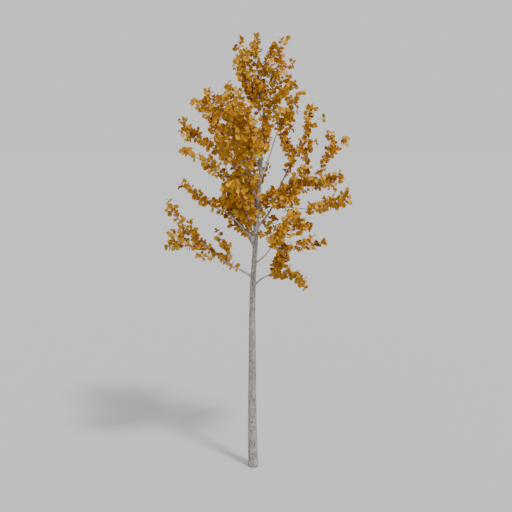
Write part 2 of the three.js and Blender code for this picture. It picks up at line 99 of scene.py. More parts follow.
def unit(vectors: Array) -> Array:
    """Scales vectors in the last axis to length one."""
    return vectors / np.maximum(np.linalg.norm(vectors, axis=-1, keepdims=True), 1e-12)


def smooth_step(x: Array, low: float, high: float) -> Array:
    """Rises from 0 at low to 1 at high, level at both ends; low may be above high."""
    t = np.clip((x - low) / (high - low), 0.0, 1.0)
    return t * t * (3.0 - 2.0 * t)


def heading(bearing: Array, rise: Array) -> Array:
    """Gives unit vectors of bearings, turned from +X towards +Y, and rises from the level."""
    b, r = np.radians(bearing), np.radians(rise)
    return np.stack([np.cos(r) * np.cos(b), np.cos(r) * np.sin(b), np.sin(r)], axis=-1)


@dataclass(frozen=True)
class Cells:
    """A layer of noise on bark.

    It has a number of cells in one lap, the height of a cell, a slant in laps a millimetre, and a seed.
    """

    columns: int
    height: float
    slant: float
    seed: int

    def noise(self, lap: Array, along: Array) -> Array:
        """Gives smooth noise that closes on itself round a limb.

        Each corner of a cell has a chance value, and a point takes the smooth blend of its cell's corners.

        Args:
            lap: Place round the limb, one lap from 0 to 1.
            along: Place along the limb.

        Returns:
            Numbers from 0 to 1 in the joint shape of the inputs.
        """
        u = (lap + self.slant * along) * self.columns
        v = along / self.height
        iu, iv = np.floor(u).astype(np.int64), np.floor(v).astype(np.int64)
        fu, fv = smooth_step(u - iu, 0.0, 1.0), smooth_step(v - iv, 0.0, 1.0)

        def corner(du: int, dv: int) -> Array:
            """Gives the chance value of one corner of each cell."""
            row = iv + dv + FIRST_CELL_ROW
            return chance(self.seed, (iu + du) % self.columns + self.columns * row)

        low = corner(0, 0) * (1 - fu) + corner(1, 0) * fu
        high = corner(0, 1) * (1 - fu) + corner(1, 1) * fu
        return low * (1 - fv) + high * fv


@dataclass(frozen=True)
class Frames:
    """Places on lines, each with the line's direction and two directions square to it."""

    point: Array
    along: Array
    side: Array
    top: Array

    def leave(self, roll: Array, angle: Array) -> Array:
        """Gives the directions that leave the lines by an angle, rolled about them, in degrees."""
        r, a = np.radians(roll)[..., None], np.radians(angle)[..., None]
        return np.cos(a) * self.along + np.sin(a) * (np.cos(r) * self.side + np.sin(r) * self.top)

    @classmethod
    def stacked(cls, lines: list["Frames"]) -> "Frames":
        """Stacks the frames of lines into arrays of line by place."""
        parts = ("point", "along", "side", "top")
        return cls(*(np.stack([getattr(line, part) for line in lines]) for part in parts))


@dataclass(frozen=True)
class Path:
    """A smooth line through evenly spaced points, from its foot at s = 0 to its tip at s = 1."""

    points: Array
    length: float

    def _spline(self, s: Array) -> tuple[Array, Array]:
        """Follows the line: between two points it is the cubic through them and their neighbours.

        Args:
            s: Shares of the length.

        Returns:
            The points and the unit directions there.
        """
        p = self.points
        padded = np.concatenate([[2 * p[0] - p[1]], p, [2 * p[-1] - p[-2]]])
        place = np.clip(s, 0.0, 1.0) * (len(p) - 1)
        i = np.minimum(place.astype(int), len(p) - 2)
        t = (place - i)[..., None]
        a, b, c, d = (padded[i + k] for k in range(4))
        point = b + 0.5 * t * (c - a + t * (2 * a - 5 * b + 4 * c - d + t * (3 * (b - c) + d - a)))
        slope = 0.5 * (c - a) + t * (2 * a - 5 * b + 4 * c - d + 1.5 * t * (3 * (b - c) + d - a))
        return point, unit(slope)

    def frames(self, s: Array) -> Frames:
        """Gives the frames along the line; the side is level for a straight line.

        Args:
            s: Shares of the length.

        Returns:
            The frames there.
        """
        point, along = self._spline(np.asarray(s, float))
        reference = unit(np.cross(self.points[-1] - self.points[0], UP))
        side = unit(reference - along * (along @ reference)[..., None])
        return Frames(point, along, side, np.cross(side, along))


@dataclass(frozen=True)
class Sway:
    """How far a growing line wanders: waves along its length, with phases that its seed gives."""

    degrees: float
    sideways: float = 1.3
    sideways_waves: float = 1.5
    upward_waves: float = 2.0
    steepest: float = 88.0
    draw: int = 900

    def grow(self, foot: Array, length: float, steps: int, seed: int, course: Heading) -> Path:
        """Grows a line: each step follows the course at its middle plus the wandering.

        Args:
            foot: Where the line starts.
            length: Length of the line.
            steps: Number of steps.
            seed: Seed of the line.
            course: Bearing and rise as functions of the share of the length.

        Returns:
            The line.
        """
        s = (np.arange(steps) + 0.5) / steps
        bearing, rise = course(s)
        phase = chance(seed, np.array([self.draw, self.draw + 1]))
        aside = self.sideways * self.degrees * np.sin(TURN * (self.sideways_waves * s + phase[0]))
        upward = self.degrees * np.sin(TURN * (self.upward_waves * s + phase[1]))
        way = heading(bearing + aside, np.clip(rise + upward, -self.steepest, self.steepest))
        points = np.concatenate([[foot], foot + np.cumsum(way * length / steps, axis=0)])
        return Path(points, length)


@dataclass
class Surface:
    """A mesh under way: vertices in millimetres, its faces, and numbers that belong to its vertices.

    Edges between vertices of the outline stay sharp.
    """

    vertices: Array
    quads: Array
    triangles: Array
    marks: dict[str, Array] = field(default_factory=dict)
    outline: Array | None = None

    @classmethod
    def joined(cls, parts: list["Surface"]) -> "Surface":
        """Joins surfaces that have the same marks into one.

        Args:
            parts: The surfaces.

        Returns:
            The joined surface.
        """
        starts = np.cumsum([0] + [len(part.vertices) for part in parts])
        marks = {key: np.concatenate([part.marks[key] for part in parts]) for key in parts[0].marks}
        flags = [np.zeros(len(p.vertices), bool) if p.outline is None else p.outline for p in parts]
        return cls(
            np.concatenate([part.vertices for part in parts]),
            np.concatenate([part.quads + start for part, start in zip(parts, starts)]),
            np.concatenate([part.triangles + start for part, start in zip(parts, starts)]),
            marks,
            np.concatenate(flags),
        )

    @classmethod
    def copies(
        cls, vertices: Array, quads: Array, triangles: Array, marks: dict[str, Array] | None = None
    ) -> "Surface":
        """Makes one surface of many shapes that share their faces.

        Args:
            vertices: Vertices in an array of shape by vertex by axis.
            quads: Four-cornered faces of one shape.
            triangles: Three-cornered faces of one shape.
            marks: Numbers in arrays of shape by vertex.

        Returns:
            The surface.
        """
        count, each = vertices.shape[:2]
        start = (np.arange(count) * each)[:, None, None]
        return cls(
            vertices.reshape(-1, 3),
            (quads[None] + start).reshape(-1, 4),
            (triangles[None] + start).reshape(-1, 3),
            {key: value.reshape(-1) for key, value in (marks or {}).items()},
        )

    @classmethod
    def tubes(
        cls, frames: Frames, radius: Array, sides: int, marks: dict[str, Array] | None = None
    ) -> "Surface":
        """Carries a round profile along paths and closes both ends with a point.

        A vertex is the path's point plus the radius times the sum of the side times the cosine and the top
        times the sine of its angle.

        Args:
            frames: Frames in arrays of path by ring.
            radius: Radii in an array of path by ring, or of path by ring by side.
            sides: Corners of the profile.
            marks: Numbers in arrays of path by ring, or of path by ring by side.

        Returns:
            The surface, with the faces outwards.
        """
        count, rings = frames.point.shape[:2]
        angle = TURN * np.arange(sides) / sides
        reach = radius[..., None] if radius.ndim == 2 else radius
        out = (
            np.cos(angle)[:, None] * frames.side[:, :, None, :]
            + np.sin(angle)[:, None] * frames.top[:, :, None, :]
        )
        wall = frames.point[:, :, None, :] + reach[..., None] * out
        ends = np.stack([frames.point[:, 0], frames.point[:, -1]], axis=1)
        vertices = np.concatenate([wall.reshape(count, rings * sides, 3), ends], axis=1)
        ring, side = np.meshgrid(np.arange(rings - 1), np.arange(sides), indexing="ij")
        following = (side + 1) % sides
        corners = [(ring, side), (ring + 1, side), (ring + 1, following), (ring, following)]
        quads = np.stack([(r * sides + c).ravel() for r, c in corners], axis=-1)
        here = np.arange(sides)
        there = (here + 1) % sides
        foot = np.stack([np.full(sides, rings * sides), here, there], axis=-1)
        last = (rings - 1) * sides
        tip = np.stack([np.full(sides, rings * sides + 1), last + there, last + here], axis=-1)
        spread = {}
        for key, value in (marks or {}).items():
            grid = np.broadcast_to(value[..., None] if value.ndim == 2 else value, (count, rings, sides))
            means = grid.mean(axis=2)
            spread[key] = np.concatenate([grid.reshape(count, -1), means[:, :1], means[:, -1:]], axis=1)
        return cls.copies(vertices, quads, np.concatenate([foot, tip]), spread)

    def mesh(self, name: str) -> bpy.types.Mesh:
        """Makes the Blender mesh, in metres and smooth but for its outline edges.

        Args:
            name: Name of the mesh.

        Returns:
            The mesh.
        """
        mesh = bpy.data.meshes.new(name)
        corners = np.concatenate([self.quads.ravel(), self.triangles.ravel()]).astype(np.int32)
        sizes = np.concatenate([np.full(len(self.quads), 4), np.full(len(self.triangles), 3)])
        starts = np.concatenate([[0], np.cumsum(sizes)[:-1]]).astype(np.int32)
        mesh.vertices.add(len(self.vertices))
        mesh.vertices.foreach_set("co", (self.vertices * MM).astype(np.float32).ravel())
        mesh.loops.add(len(corners))
        mesh.loops.foreach_set("vertex_index", corners)
        mesh.polygons.add(len(sizes))
        mesh.polygons.foreach_set("loop_start", starts)
        mesh.polygons.foreach_set("use_smooth", np.ones(len(sizes), bool))
        mesh.update(calc_edges=True)
        for key, value in self.marks.items():
            mark = mesh.attributes.new(key, "FLOAT", "POINT")
            mark.data.foreach_set("value", value.astype(np.float32))
        if self.outline is not None and self.outline.any():
            pairs = np.zeros(2 * len(mesh.edges), np.int32)
            mesh.edges.foreach_get("vertices", pairs)
            sharp = self.outline[pairs.reshape(-1, 2)].all(axis=1)
            mesh.attributes.new("sharp_edge", "BOOLEAN", "EDGE").data.foreach_set("value", sharp)
        mesh.validate()
        return mesh

    def placed(self, name: str, material: bpy.types.Material) -> bpy.types.Object:
        """Puts the surface into the scene.

        Args:
            name: Name of the object.
            material: Its finish.

        Returns:
            The object.
        """
        placed = bpy.data.objects.new(name, self.mesh(name))
        placed.data.materials.append(material)
        bpy.context.scene.collection.objects.link(placed)
        return placed


def set_piece(
    name: str, surface: Surface, material: bpy.types.Material, nodes: list[str]
) -> None:
    """Makes a surface a piece of the tree and reports it.

    Args:
        name: Name of the piece.
        surface: Its surface.
        material: Its finish.
        nodes: The solids that it stands for.
    """
    piece = surface.placed(name, material)
    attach(piece, BODY)
    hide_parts(*nodes)
    faces = 2 * len(surface.quads) + len(surface.triangles)
    LOG.info("%s: %d triangles, stands for %d solids", name, faces, len(nodes))


def nodes_of(ending: str) -> list[str]:
    """Names the solids whose names end in a word."""
    return sorted(name for name in frame["nodes"] if name.endswith(ending))


def nodes_in(slot: str) -> list[str]:
    """Names the solids that have a material slot in the record."""
    return [part["node"] for part in frame["record"]["subparts"] if part["material_slot"] == slot]


class Wire:
    """A shader output that takes part in sums: each operator adds one Math node."""

    def __init__(self, board: "Board", socket: bpy.types.NodeSocket) -> None:
        """Holds an output of a board's node."""
        self.board = board
        self.socket = socket

    def _math(self, operation: str, first: Any, second: Any) -> "Wire":
        """Adds a Math node for an operation on two values."""
        return self.board.out("ShaderNodeMath", {"operation": operation}, {0: first, 1: second})

    def __add__(self, other: Any) -> "Wire":
        """Adds."""
        return self._math("ADD", self, other)

    __radd__ = __add__

    def __sub__(self, other: Any) -> "Wire":
        """Takes away."""
        return self._math("SUBTRACT", self, other)

    def __rsub__(self, other: Any) -> "Wire":
        """Takes this away from a number."""
        return self._math("SUBTRACT", other, self)

    def __mul__(self, other: Any) -> "Wire":
        """Multiplies."""
        return self._math("MULTIPLY", self, other)

    __rmul__ = __mul__


class Board:
    """The shader nodes of one finish."""

    def __init__(self, name: str) -> None:
        """Starts a material with no nodes.

        Args:
            name: Name of the material.
        """
        self.material = bpy.data.materials.new(name)
        self.material.use_nodes = True
        self.tree = self.material.node_tree
        self.tree.nodes.clear()

    def node(self, kind: str, settings: dict[str, Any], sockets: dict[Any, Any]) -> bpy.types.Node:
        """Adds a node.

        Args:
            kind: The node's type.
            settings: Its own settings, set first.
            sockets: Values or wires for its inputs, by name or number.

        Returns:
            The node.
        """
        node = self.tree.nodes.new(kind)
        for key, value in settings.items():
            setattr(node, key, value)
        for key, value in sockets.items():
            if isinstance(value, Wire):
                self.tree.links.new(value.socket, node.inputs[key])
            else:
                node.inputs[key].default_value = value
        return node

    def out(self, kind: str, settings: dict[str, Any], sockets: dict[Any, Any], output: Any = 0) -> Wire:
        """Adds a node and gives one of its outputs."""
        return Wire(self, self.node(kind, settings, sockets).outputs[output])

    def noise(self, stretch: Colour, scale: float, detail: float = 2.0) -> Wire:
        """Gives noise over the piece.

        Args:
            stretch: Factors of the piece's place along its axes.
            scale: Patches in a metre.
            detail: Levels of finer noise.

        Returns:
            The noise, from 0 to 1.
        """
        place = self.out("ShaderNodeTexCoord", {}, {}, "Object")
        stretched = self.out("ShaderNodeMapping", {}, {"Vector": place, "Scale": stretch})
        sockets = {"Vector": stretched, "Scale": scale, "Detail": detail}
        return self.out("ShaderNodeTexNoise", {}, sockets, "Fac")

    def mark(self, name: str) -> Wire:
        """Gives a number that belongs to the piece's vertices."""
        return self.out("ShaderNodeAttribute", {"attribute_name": name}, {}, "Fac")

    def ramp(self, value: Wire, low: float, high: float) -> Wire:
        """Rises smoothly from 0 where the value is low to 1 where it is high."""
        sockets = {"Value": value, "From Min": low, "From Max": high}
        return self.out("ShaderNodeMapRange", {"interpolation_type": "SMOOTHSTEP"}, sockets)

    def blend(self, share: Wire, first: Any, second: Any) -> Wire:
        """Blends two colours.

        Args:
            share: Share of the second colour.
            first: A colour or a wire.
            second: A colour or a wire.

        Returns:
            The blended colour.
        """
        first, second = (c if isinstance(c, Wire) else (*c, 1.0) for c in (first, second))
        sockets = {0: share, 6: first, 7: second}
        return self.out("ShaderNodeMix", {"data_type": "RGBA"}, sockets, 2)

    def finish(
        self, sockets: dict[str, Any], height: Wire, strength: float, depth: float
    ) -> bpy.types.Material:
        """Adds the surface shader with a relief.

        Args:
            sockets: The shader's inputs.
            height: Height of the relief.
            strength: How strongly the relief shows.
            depth: Depth of the relief in metres.

        Returns:
            The material.
        """
        relief = self.out("ShaderNodeBump", {}, {"Strength": strength, "Distance": depth, "Height": height})
        shader = self.out("ShaderNodeBsdfPrincipled", {}, {**sockets, "Normal": relief})
        self.node("ShaderNodeOutputMaterial", {}, {"Surface": shader})
        return self.material


@dataclass(frozen=True)
class BarkFinish:
    """Bark: pale ridges on darker plates, dark fissures, and browner skin where the wood is young."""

    name: str
    ridge: Colour
    plate: Colour
    fissure: Colour
    young: Colour
    roughness: float
    upright: Colour = (1.0, 1.0, 0.35)
    streak_scale: float = 120.0
    streak_detail: float = 5.0
    streak_share: float = 0.7
    patch_scale: float = 24.0
    patch_detail: float = 3.0
    grain_stretch: Colour = (1.0, 1.0, 0.5)
    grain_scale: float = 620.0
    plate_edge: Span = (0.4, 0.6)
    fissure_edge: Span = (0.22, 0.78)
    fissure_ragged: float = 0.8
    young_share: float = 0.72
    young_mottle: float = 0.5
    rough_mottle: float = 0.18
    young_gloss: float = 0.16
    streak_relief: float = 0.65
    relief_strength: float = 0.5
    relief_depth: float = 0.0012

    def material(self) -> bpy.types.Material:
        """Makes the finish: streaks and patches of the object's place, with its fissure and youth marks.

        Returns:
            The material.
        """
        board = Board(self.name)
        streaks = board.noise(self.upright, self.streak_scale, self.streak_detail)
        patches = board.noise(self.upright, self.patch_scale, self.patch_detail)
        grain = board.noise(self.grain_stretch, self.grain_scale)
        fissure = board.mark("fissure")
        youth = board.mark("youth")
        mottle = streaks * self.streak_share + patches * (1 - self.streak_share)
        base = board.blend(board.ramp(mottle, *self.plate_edge), self.plate, self.ridge)
        crack = board.ramp(fissure + self.fissure_ragged * (streaks - 0.5), *self.fissure_edge)
        cracked = board.blend(crack, base, self.fissure)
        smooth = youth * (self.young_share + self.young_mottle * (grain - 0.5))
        skin = board.blend(smooth, cracked, self.young)
        rough = self.roughness + self.rough_mottle * (grain - 0.5) - self.young_gloss * youth
        height = self.streak_relief * streaks + (1 - self.streak_relief) * grain
        sockets = {"Base Color": skin, "Roughness": rough}
        return board.finish(sockets, height, self.relief_strength, self.relief_depth)


@dataclass(frozen=True)
class LeafFinish:
    """A leaf tint: one plain colour with a faint mottle, and a satin blade with fine veining."""

    name: str
    slot: str
    colour: Colour
    share: float
    mottle: float = 0.22
    mottle_scale: float = 70.0
    mottle_detail: float = 3.0
    mottle_edge: Span = (0.35, 0.65)
    vein_scale: float = 380.0
    vein_relief: float = 0.6
    roughness: float = 0.6
    rough_mottle: float = 0.2
    gloss: float = 0.1
    relief_strength: float = 0.35
    relief_depth: float = 0.0008

    def material(self) -> bpy.types.Material:
        """Makes the finish: a mottle of the object's place lightens and darkens the plain colour.

        Returns:
            The material.
        """
        board = Board(self.name)
        cells = board.noise(EVEN, self.mottle_scale, self.mottle_detail)
        veins = board.noise(EVEN, self.vein_scale)
        dark = tuple(c * (1.0 - self.mottle) for c in self.colour)
        light = tuple(min(1.0, c * (1.0 + self.mottle)) for c in self.colour)
        tint = board.blend(board.ramp(cells, *self.mottle_edge), dark, light)
        rough = self.roughness + self.rough_mottle * (veins - 0.5)
        height = self.vein_relief * veins + (1 - self.vein_relief) * cells
        sockets = {"Base Color": tint, "Roughness": rough, "Specular IOR Level": self.gloss}
        return board.finish(sockets, height, self.relief_strength, self.relief_depth)


class Tint(Enum):
    """The tints of the leaves, dealt out by spray in these shares."""

    PALE_GOLD = LeafFinish("pale_gold_leaves", "leaf_gold", (0.74, 0.42, 0.038), 0.13)
    GOLD = LeafFinish("gold_leaves", "leaf_gold", (0.66, 0.345, 0.027), 0.34)
    AMBER = LeafFinish("amber_leaves", "leaf_amber", (0.56, 0.268, 0.021), 0.32)
    ORANGE = LeafFinish("orange_leaves", "leaf_orange", (0.445, 0.185, 0.017), 0.14)
    RUSSET = LeafFinish("russet_leaves", "leaf_russet", (0.3, 0.11, 0.014), 0.04)
    GREEN = LeafFinish("green_leaves", "leaf_green", (0.43, 0.31, 0.026), 0.03)


BARK = BarkFinish(
    "grey_bark",
    ridge=(0.48, 0.448, 0.422),
    plate=(0.295, 0.27, 0.252),
    fissure=(0.15, 0.132, 0.12),
    young=(0.27, 0.23, 0.185),
    roughness=0.86,
)
TWIG_SKIN = BarkFinish(
    "twig_skin",
    ridge=(0.34, 0.3, 0.26),
    plate=(0.26, 0.22, 0.18),
    fissure=(0.16, 0.12, 0.09),
    young=(0.24, 0.165, 0.1),
    roughness=0.74,
)


@dataclass(frozen=True)
class Limb:
    """Sizes of a limb: where it leaves the trunk, by height, or another limb, by share, and its course.

    Turn and lift are what bearing and rise gain by the tip, and arch what the rise gains half way.
    The bare shares at its foot and its tip have no leaves of their own. Reach is the size of the shoots,
    and the deal says which of its arrangements of shoots the limb has.
    """

    name: str
    parent: str
    at: float
    length: float
    bearing: float
    rise: float
    lift: float
    bare: float
    shoots: int
    reach: float
    deal: int
    turn: float = 0.0
    arch: float = 0.0
    bare_tip: float = 0.0

    def course(self, s: Array) -> tuple[Array, Array]:
        """Gives the bearing and the rise along the limb."""
        return self.bearing + self.turn * s, self.rise + self.lift * s + self.arch * 4 * s * (1 - s)


LIMBS = (
    Limb("left_low", "trunk", 2440, 1360, 195, 33, 31, 0.15, 5, 270, 11, arch=-8),
    Limb("left_low_out", "left_low", 0.45, 510, 190, 12, -30, 0.05, 5, 140, 11, turn=10, arch=15),
    Limb("left_second", "trunk", 2850, 1100, 190, 65, -25, 0.38, 8, 130, 14, arch=-20),
    Limb("left_upright", "left_second", 0.1, 720, 180, 88, -60, 0.1, 4, 330, 2,
         turn=30, arch=15, bare_tip=0.15),
    Limb("left_inner", "trunk", 2800, 820, 150, 50, 20, 0.15, 11, 240, 2),
    Limb("left_third", "trunk", 3200, 1270, 210, 61, -35, 0.4, 3, 150, 7, turn=20, arch=-10),
    Limb("left_steep", "left_third", 0.37, 1040, 152, 54, -14, 0.25, 11, 280, 2, arch=30, bare_tip=0.1),
    Limb("left_fourth", "trunk", 3440, 1320, 150, 48, -10, 0.1, 10, 170, 19, turn=5, arch=-9),
    Limb("left_upper", "trunk", 4000, 690, 200, 49, 20, 0.1, 8, 210, 16),
    Limb("right_low", "trunk", 2320, 920, 40, 29, -62, 0.35, 7, 150, 1, turn=5, arch=-6),
    Limb("right_low_up", "right_low", 0.37, 370, 20, 65, -10, 0.1, 10, 220, 14, turn=-5),
    Limb("right_second", "trunk", 2590, 840, 315, 40, 15, 0.48, 8, 180, 9),
    Limb("right_level", "right_second", 0.42, 660, 20, -27, 30, 0.45, 5, 130, 2, turn=5, arch=20),
    Limb("right_third", "trunk", 3040, 1540, 15, 46, -10, 0.45, 5, 100, 13, arch=25, bare_tip=0.15),
    Limb("right_inner", "right_third", 0.55, 570, 135, 65, 10, 0.1, 7, 160, 4,
         turn=-60, arch=-10, bare_tip=0.15),
    Limb("right_fork", "right_third", 0.28, 750, 335, 38, 60, 0.07, 8, 200, 4, arch=-15),
    Limb("right_outer", "right_fork", 0.28, 630, 15, 0, 10, 0.05, 10, 220, 12, bare_tip=0.15),
    Limb("right_tip", "right_outer", 0.58, 650, 25, 88, -75, 0.15, 3, 100, 7, bare_tip=0.1),
    Limb("right_long", "right_third", 0.22, 1070, 320, -14, 36, 0.47, 7, 180, 13, turn=-5, arch=5),
    Limb("right_drop", "right_long", 0.15, 370, 345, -43, 0, 0.15, 8, 130, 4),
    Limb("right_upper", "trunk", 3590, 1270, 50, 50, -35, 0.5, 9, 130, 6, arch=25, bare_tip=0.1),
    Limb("right_top", "trunk", 4170, 630, 340, 70, -55, 0.15, 5, 240, 0, turn=20, arch=15, bare_tip=0.1),
    Limb("front_high", "trunk", 3700, 1120, 258, 34, 15, 0.25, 9, 200, 1),
    Limb("front_left", "trunk", 3330, 1290, 240, 51, 10, 0.15, 12, 190, 0),
    Limb("front_right", "trunk", 3810, 540, 280, 37, 30, 0.2, 8, 150, 8, arch=10, bare_tip=0.15),
    Limb("back_first", "trunk", 2840, 780, 100, 49, 10, 0.3, 7, 330, 2),
    Limb("back_low", "trunk", 3090, 1190, 95, 46, 15, 0.15, 7, 330, 4),
    Limb("back_left", "trunk", 3490, 1310, 120, 46, 15, 0.25, 11, 270, 1),
    Limb("top_leader", "trunk", 4400, 720, 150, 80, 0, 0, 11, 290, 17, bare_tip=0.15),
    Limb("top_right", "trunk", 4300, 860, 0, 68, 17, 0.2, 8, 250, 9, turn=-20, bare_tip=0.15),
    Limb("top_left", "trunk", 4280, 830, 185, 63, 10, 0.1, 7, 350, 15, bare_tip=0.15),
    Limb("left_high", "trunk", 3750, 1080, 165, 78, -20, 0.2, 8, 180, 7, turn=-20, arch=-25, bare_tip=0.1),
    Limb("left_second_up", "left_second", 0.4, 270, 190, 85, 0, 0.1, 3, 170, 18),
    Limb("right_second_in", "right_second", 0.5, 290, 115, 20, 75, 0.05, 5, 130, 4,
         turn=-10, bare_tip=0.15),
    Limb("right_tip_up", "right_tip", 0.45, 280, 340, 75, 20, 0.1, 3, 120, 15, bare_tip=0.15),
    Limb("right_spire", "right_third", 0.8, 330, 55, 88, -35, 0.15, 3, 100, 3, bare_tip=0.15),
    Limb("right_fork_low", "right_fork", 0.1, 240, 290, -25, 30, 0.05, 9, 160, 0, arch=-10),
    Limb("left_low_in", "left_low", 0.25, 380, 195, 85, -45, 0.1, 3, 100, 6, arch=10, bare_tip=0.15),
    Limb("right_twig", "trunk", 3230, 300, 340, 52, 10, 0.3, 3, 110, 3, bare_tip=0.15),
    Limb("front_low", "trunk", 3000, 800, 243, 42, 15, 0.15, 9, 190, 5),
    Limb("left_fourth_out", "left_fourth", 0.78, 180, 185, 5, 20, 0.1, 3, 100, 1),
)


@dataclass
class Trunk:
    """The trunk: a tapering stem with a slight bow and lean, a flared foot and fissured bark."""

    height: float = 4400.0
    foot_radius: float = 61.0
    tip_radius: float = 11.0
    flare: float = 4.5
    flare_height: float = 90.0
    ribs: int = 5
    rib_depth: float = 3.0
    bow: float = -12.0
    bow_height: float = 250.0
    lean: float = 125.0
    lean_span: Span = (1900.0, 4450.0)
    depth_wave: float = 20.0
    depth_wave_height: float = 2600.0
    sides: int = 96
    rings: int = 820
    ring_spread: float = 0.2
    wide: Cells = Cells(22, 80.0, 0.00003, 11)
    narrow: Cells = Cells(36, 32.0, -0.00002, 12)
    fine: Cells = Cells(48, 14.0, 0.0, 13)
    fissure_edge: Span = (0.85, 0.98)
    fine_fissures: float = 0.8
    long_mix: Span = (0.6, 0.4)
    short_mix: Span = (0.7, 0.3)
    ridge_mix: Colour = (0.6, 0.5, 0.4)
    fissure_depth: float = 2.4
    fissure_ageing: float = 0.8
    ridge_height: float = 0.9
    leader_run: float = 420.0
    young_radii: Span = (26.0, 6.0)
    young_share: float = 0.7
    collar_swell: float = 0.5
    collar_width: float = 1.15
    collar_drop: float = 1.5

    def axis(self, z: Array) -> Array:
        """Gives the middle of the trunk: a bow that fades out upwards, then an eased lean.

        Args:
            z: Heights.

        Returns:
            The points there.
        """
        z = np.asarray(z, float)
        x = self.bow * (1 - np.exp(-z / self.bow_height)) + self.lean * smooth_step(z, *self.lean_span)
        return np.stack([x, self.depth_wave * np.sin(np.pi * z / self.depth_wave_height), z], axis=-1)

    def radius(self, z: Array, angle: Array | float = 0.0) -> Array:
        """Gives the radius: a straight taper, with a flare and ribs that fade upwards.

        Args:
            z: Heights.
            angle: Angles round the trunk.

        Returns:
            The radii there.
        """
        fade = np.exp(-np.asarray(z, float) / self.flare_height)
        taper = self.foot_radius + (self.tip_radius - self.foot_radius) * z / self.height
        return taper + fade * (self.flare + self.rib_depth * np.cos(self.ribs * np.asarray(angle)))

    def bark(self, lap: Array, z: Array) -> tuple[Array, Array]:
        """Gives the bark's relief.

        A fissure runs where stretched noise crosses its middle value, so the lines are upright and join.

        Args:
            lap: Places round the trunk, one lap from 0 to 1.
            z: Heights.

        Returns:
            The fissures, from 0 to 1, and the height of the ridges, from -1 to 1.
        """
        layers = [layer.noise(lap, z) for layer in (self.wide, self.narrow, self.fine)]
        wide, narrow, fine = layers
        first = 1 - np.abs(2 * (self.long_mix[0] * wide + self.long_mix[1] * narrow) - 1)
        second = 1 - np.abs(2 * (self.short_mix[0] * narrow + self.short_mix[1] * fine) - 1)
        long, short = (smooth_step(line, *self.fissure_edge) for line in (first, second))
        ridges = sum(share * (layer - 0.5) for share, layer in zip(self.ridge_mix, layers))
        return np.maximum(long, self.fine_fissures * short), ridges

    def build(self, limbs: "Limbs") -> Surface:
        """Builds the trunk's surface: radius and bark as functions of the angle and the height.

        Args:
            limbs: The limbs, whose feet swell the trunk.

        Returns:
            The surface, closed by a flat cut at the ground.
        """
        share = np.linspace(0, 1, self.rings)
        z = self.height * ((1 - self.ring_spread) * share + self.ring_spread * share**2)
        height, angle = z[:, None], (TURN * np.arange(self.sides) / self.sides)[None, :]
        fissures, ridges = self.bark(angle / TURN, height)
        base = self.radius(height, angle)
        ageing = (base / self.foot_radius) ** self.fissure_ageing
        rough = self.fissure_depth * ageing * (self.ridge_height * ridges - fissures)
        leader = limbs.radius("top_leader", np.zeros(1))[0] / self.tip_radius
        ending = 1 - (1 - leader) * smooth_step(height, self.height - self.leader_run, self.height)
        swell = sum(self._collar(height, angle, base, *foot) for foot in limbs.trunk_feet())
        radius = base * ending + rough + swell
        ways = (UP, [1.0, 0.0, 0.0], [0.0, -1.0, 0.0])
        along, side, top = (np.tile(way, (self.rings, 1)) for way in ways)
        frames = Frames.stacked([Frames(self.axis(z), along, side, top)])
        youth = self.young_share * smooth_step(base, *self.young_radii)
        marks = {"fissure": fissures[None, :, ::-1], "youth": youth[None, :, ::-1]}
        return Surface.tubes(frames, radius[None, :, ::-1], self.sides, marks)

    def _collar(
        self, z: Array, angle: Array, base: Array, at: float, bearing: float, foot: float
    ) -> Array:
        """Gives the swelling round one limb's foot: a bell over the distance on the trunk's surface.

        Args:
            z: Heights.
            angle: Angles round the trunk.
            base: Radii of the trunk.
            at: Height of the limb's foot.
            bearing: Bearing of the limb in radians.
            foot: Radius of the limb's foot.

        Returns:
            What the radii gain.
        """
        aside = (np.mod(angle - bearing + np.pi, TURN) - np.pi) * base
        upright = np.where(z < at, (z - at) / self.collar_drop, z - at)
        spread = 2 * (self.collar_width * foot) ** 2
        return self.collar_swell * foot * np.exp(-(aside**2 + upright**2) / spread)


